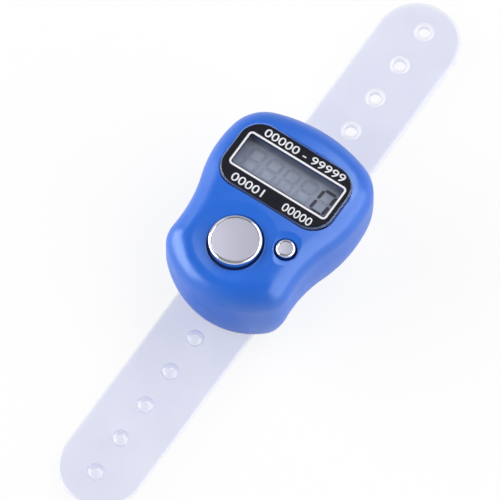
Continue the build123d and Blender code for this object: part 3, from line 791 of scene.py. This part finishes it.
# %% Finishes of the inner pieces
# Name, dark and light shade, grain in mm, roughness, bump in mm, other sockets, CAD nodes
inner_finishes = (
    # Cut glass has a faint green cast and a sharp mirror.
    ("cut_display_glass", "#C9D2D2", "#D6DEDD", 6.0, (0.04, 0.1), 0.004, {"IOR": 1.52},
     ("lcd_front_glass", "lcd_rear_glass")),
    # A silvered film is a bright mirror, a little blurred.
    ("silvered_reflector_film", "#C4C6CA", "#D4D6DA", 0.8, (0.3, 0.4), 0.006, metal, ("lcd_reflector",)),
    # Moulded polystyrene is milk white with a low shine.
    ("moulded_white_polystyrene", "#E4E4E0", "#EEEEEA", 4.0, (0.35, 0.5), 0.01, None, ("lcd_holder",)),
    # Potting sets as it flowed, black and wet-looking.
    ("potted_black_epoxy", "#131315", "#1D1D20", 1.5, (0.2, 0.35), 0.03, None, ("chip_blob",)),
    # Fired ceramic is matt and finely speckled, and a glaze adds a soft shine.
    ("fired_tan_ceramic", "#A88458", "#B89468", 0.3, (0.5, 0.65), 0.01, None, ("chip_capacitor",)),
    ("glazed_black_ceramic", "#17171A", "#232327", 0.3, (0.25, 0.4), 0.01, None, ("chip_resistor",)),
    # Carbon in the rubber makes it sooty and dull.
    ("pressed_carbon_rubber", "#161616", "#242424", 0.25, (0.6, 0.8), 0.02, None,
     ("count_pill", "reset_pill")),
    # Drawn steel is a cool grey with a cloudy shine.
    ("drawn_stainless_steel", "#B5B6B6", "#C6C7C7", 0.9, (0.22, 0.34), 0.008, metal, ("button_cell",)),
    # Nickel plate is a warmer, brighter metal.
    ("nickel_plated_spring_strip", "#BDB7A8", "#CDC7B9", 0.7, (0.2, 0.32), 0.008, metal,
     ("negative_spring", "positive_clip")),
    # Zinc plate is bluish and patchy.
    ("zinc_plated_steel", "#A6AAB0", "#BEC2C8", 0.5, (0.25, 0.42), 0.01, metal,
     ("case_screws", "board_screws")),
)
for name, dark, light, grain_mm, roughness, bump_mm, sockets, names in inner_finishes:
    dress(grained(name, dark, light, grain_mm, roughness, bump_mm, sockets), *names)

# %% [markdown]
# A rubber dome under each button buckles when it is pressed and springs the button back. It is moulded
# from silicone, a dull, even grey. The CAD dome is stiff, so a merged copy of it, on no body, takes
# its place.

# %% Merged copies of the domes
silicone = grained("moulded_grey_silicone", "#A9ABAD", "#B7B9BB", 2.0, (0.5, 0.65), 0.02)
dress(silicone, "count_dome", "reset_dome")


def squashing_dome(name, node):
    """A merged copy of the CAD dome in grey silicone, on no body, in place of the dome."""
    dome = finish_piece(name, nodes[node].data.copy(), silicone, None)
    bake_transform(dome)
    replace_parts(dome, node)


squashing_dome("count_dome_soft", "count_dome")
squashing_dome("reset_dome_soft", "reset_dome")

# %% [markdown]
# The zebra strip is a sandwich of clear and carbon-filled rubber, which joins the glass to the board
# line by line: the eye gets even dull stripes. Each layer could be a slab of its own, but a wave
# texture gives the same look on one block. Real layers are a tenth of a millimetre apart. They are
# drawn five times coarser here, to show.

# %% Zebra rubber
stripe_pitch = 0.5
# A wave texture of scale 1 goes through 20 radians a metre, which is this many whole waves.
waves_at_scale_one = 20 / (2 * np.pi)

zebra, tree, out = new_material("layered_zebra_rubber")
place = add(tree, "ShaderNodeTexCoord").outputs["Object"]
layers = add(tree, "ShaderNodeTexWave", {
    "Vector": place, "Scale": per_metre(stripe_pitch) / waves_at_scale_one, "Distortion": 0.2})
rubber = add(tree, "ShaderNodeValToRGB", {"Fac": layers.outputs["Fac"]})
for stop, position, shade in zip(rubber.color_ramp.elements, (0.45, 0.55), ("#1A1A1C", "#D8D4CE")):
    stop.position = position
    stop.color = linear(shade)
soft = add(tree, "ShaderNodeBsdfPrincipled", {"Base Color": rubber.outputs["Color"], "Roughness": 0.55})
tree.links.new(soft.outputs["BSDF"], out.inputs["Surface"])
dress(zebra, "zebra_strip")

# %% [markdown]
# The board is fibreglass under green solder mask, and its etched copper tracks show through as paler,
# slightly raised lines. They could be separate strips of mesh, but they are far too thin to matter as
# shapes. They run in lanes that jog at 45 degrees: the jog is a zigzag of x with its tops cut off,
# added to y. White noise, one value for each length of lane, leaves some lengths out.

# %% Circuit board
track_pitch = 1.2
track_share = 0.4
track_run = 5.5
missing_share = 0.35
jog_spacing = 5.0
jog_depth = 1.8
copper_height = 0.035

board, tree, out = new_material("green_solder_mask_on_fibreglass")
place = add(tree, "ShaderNodeTexCoord").outputs["Object"]
axes = add(tree, "ShaderNodeSeparateXYZ", {"Vector": place})
zigzag = add(tree, "ShaderNodeMath", {0: axes.outputs["X"], 1: jog_spacing * MM}, operation="PINGPONG")
jog = add(tree, "ShaderNodeMath", {0: zigzag.outputs[0], 1: jog_depth * MM}, operation="MINIMUM")
lanes = add(tree, "ShaderNodeMath", {0: axes.outputs["Y"], 1: jog.outputs[0]}, operation="ADD")
along = add(tree, "ShaderNodeCombineXYZ", {"X": axes.outputs["X"], "Y": lanes.outputs[0]})
lengths = add(tree, "ShaderNodeVectorMath", {
    0: along.outputs["Vector"], 1: (track_run * MM, track_pitch * MM, 1)}, operation="SNAP")
chance = add(tree, "ShaderNodeTexWhiteNoise", {"Vector": lengths.outputs["Vector"]})
present = add(tree, "ShaderNodeMath", {
    0: chance.outputs["Value"], 1: missing_share}, operation="GREATER_THAN")
lane = add(tree, "ShaderNodeMath", {0: lanes.outputs[0], 1: track_pitch * MM}, operation="DIVIDE")
aside = add(tree, "ShaderNodeMath", {0: lane.outputs[0]}, operation="FRACT")
in_lane = add(tree, "ShaderNodeMath", {0: aside.outputs[0], 1: track_share}, operation="LESS_THAN")
track = add(tree, "ShaderNodeMath", {0: in_lane.outputs[0], 1: present.outputs[0]}, operation="MULTIPLY")
mask = add(tree, "ShaderNodeValToRGB", {"Fac": track.outputs[0]})
for stop, shade in zip(mask.color_ramp.elements, ("#1F6B3A", "#3C8E54")):
    stop.color = linear(shade)
copper = add(tree, "ShaderNodeBump", {
    "Height": track.outputs[0], "Strength": 0.4, "Distance": copper_height * MM})
resin = add(tree, "ShaderNodeBsdfPrincipled", {
    "Base Color": mask.outputs["Color"], "Roughness": 0.3, "Normal": copper.outputs["Normal"]})
tree.links.new(resin.outputs["BSDF"], out.inputs["Surface"])
dress(board, "circuit_board")

# %% [markdown]
# The counter lies on a white table. Stronger lamps could whiten the table, but they would bleach the
# counter too, so the floor shines by itself instead: white to the camera and through the strap, and a
# little in reflections. The rest of it is plain white paper, so that the counter keeps a soft shadow,
# also where its lower walls mirror the table. From below, the floor is clear.

# %% Floor
floor_size = 3000.0
floor_shine = 0.85
mirrored_shine = 0.25


def seen_share(tree, mirrored):
    """One for rays that look at the studio straight or through something clear, and the mirrored
    share for those that see it by reflection."""
    path = add(tree, "ShaderNodeLightPath")
    straight, glossy, through = [
        path.outputs["Is %s Ray" % kind] for kind in ("Camera", "Glossy", "Transmission")]
    mirror = add(tree, "ShaderNodeMath", {0: glossy, 1: mirrored}, operation="MULTIPLY")
    first = add(tree, "ShaderNodeMath", {0: straight, 1: mirror.outputs[0]}, operation="MAXIMUM")
    return add(tree, "ShaderNodeMath", {0: first.outputs[0], 1: through}, operation="MAXIMUM").outputs[0]


floor_paper, tree, out = new_material("white_studio_paper")
share = add(tree, "ShaderNodeMath", {
    0: seen_share(tree, mirrored_shine), 1: floor_shine}, operation="MULTIPLY")
paper = add(tree, "ShaderNodeBsdfDiffuse", {"Color": linear("#F4F4F4")})
shine = add(tree, "ShaderNodeEmission", {"Color": (1, 1, 1, 1), "Strength": 1.0})
lit = add(tree, "ShaderNodeMixShader", {
    "Fac": share.outputs[0], 1: paper.outputs["BSDF"], 2: shine.outputs["Emission"]})
from_below = add(tree, "ShaderNodeNewGeometry").outputs["Backfacing"]
clear = add(tree, "ShaderNodeBsdfTransparent").outputs["BSDF"]
sheet = add(tree, "ShaderNodeMixShader", {"Fac": from_below, 1: lit.outputs["Shader"], 2: clear})
tree.links.new(sheet.outputs["Shader"], out.inputs["Surface"])

floor_points = np.array([(-1, -1, 0), (1, -1, 0), (-1, 1, 0), (1, 1, 0)]) * floor_size / 2
floor_mesh = bpy.data.meshes.new("studio_floor")
floor_mesh.from_pydata((floor_points * MM).tolist(), [], grid_faces(2, 2, False).tolist())
floor_mesh.materials.append(floor_paper)
floor = bpy.data.objects.new("studio_floor", floor_mesh)
bpy.context.collection.objects.link(floor)
print("floor in mm:", floor_size, "square")

# %% [markdown]
# The room round the table shows in the chrome and in the gloss of the case. A picture of a studio
# could stand there, but a plain ramp is enough: pale at the horizon and dimmer overhead. The camera
# itself sees white, and the room lights the counter only faintly.

# %% World
horizon_level = 0.9
overhead_level = 0.3
overhead_from = 0.9
room_light = 0.1

world = bpy.data.worlds.new("soft_studio")
world.use_nodes = True
tree = world.node_tree
tree.nodes.clear()
direction = add(tree, "ShaderNodeTexCoord").outputs["Generated"]
upwards = add(tree, "ShaderNodeSeparateXYZ", {"Vector": direction}).outputs["Z"]
ceiling = add(tree, "ShaderNodeMapRange", {
    "Value": upwards, "From Min": 0.0, "From Max": overhead_from,
    "To Min": horizon_level, "To Max": overhead_level})
straight = add(tree, "ShaderNodeLightPath").outputs["Is Camera Ray"]
backdrop = add(tree, "ShaderNodeMath", {0: straight, 1: ceiling.outputs["Result"]}, operation="MAXIMUM")
level = add(tree, "ShaderNodeMapRange", {
    "Value": seen_share(tree, mirrored=1.0), "To Min": room_light, "To Max": backdrop.outputs[0]})
sky = add(tree, "ShaderNodeBackground", {"Color": linear("#FAFAFF"), "Strength": level.outputs["Result"]})
tree.links.new(sky.outputs["Background"], add(tree, "ShaderNodeOutputWorld").inputs["Surface"])
bpy.context.scene.world = world
print("world from", horizon_level, "at the horizon to", overhead_level, "overhead")

# %% [markdown]
# Two large softboxes, left and right, light the counter as for a product picture, and their streaks
# show along its edges. A smaller one, high on the far right, brightens the top. A fill under the table
# shows the cover in views from below. Each could be placed by hand, but an azimuth and an elevation
# seen from the camera are easier to set against the streaks in the photograph.

# %% Lamps
lamp_distance = 600
straight_up = Vector((0, 0, 1))
image_right = camera.rotation_quaternion @ Vector((1, 0, 0))
image_far = straight_up.cross(image_right)
# Name, azimuth and elevation in degrees, width, height, watts
studio_lamps = (
    ("left_softbox", 174, 22, 760, 480, 4.8),
    ("right_softbox", -18, 30, 800, 740, 3.9),
    ("high_softbox", 42, 54, 360, 320, 1.3),
    ("underside_fill", 0, -90, 800, 800, 2.0),
)


def softbox(name, azimuth, elevation, width, height, watts):
    """A lamp aimed at the case. Azimuth 0 is the picture's right, and 90 the table's far side."""
    turn, lift = np.radians(azimuth), np.radians(elevation)
    level_way = image_right * np.cos(turn) + image_far * np.sin(turn)
    way = level_way * np.cos(lift) + straight_up * np.sin(lift)
    lamp = bpy.data.lights.new(name, "AREA")
    lamp.shape = "RECTANGLE"
    lamp.size = width * MM
    lamp.size_y = height * MM
    lamp.energy = watts
    holder = bpy.data.objects.new(name, lamp)
    holder.location = way * lamp_distance * MM
    holder.rotation_mode = "QUATERNION"
    holder.rotation_quaternion = way.to_track_quat("Z", "Y")
    holder.visible_camera = False
    bpy.context.collection.objects.link(holder)
    print(name, "at (mm):", [round(v / MM) for v in holder.location])


for name, azimuth, elevation, width, height, watts in studio_lamps:
    softbox(name, azimuth, elevation, width, height, watts)
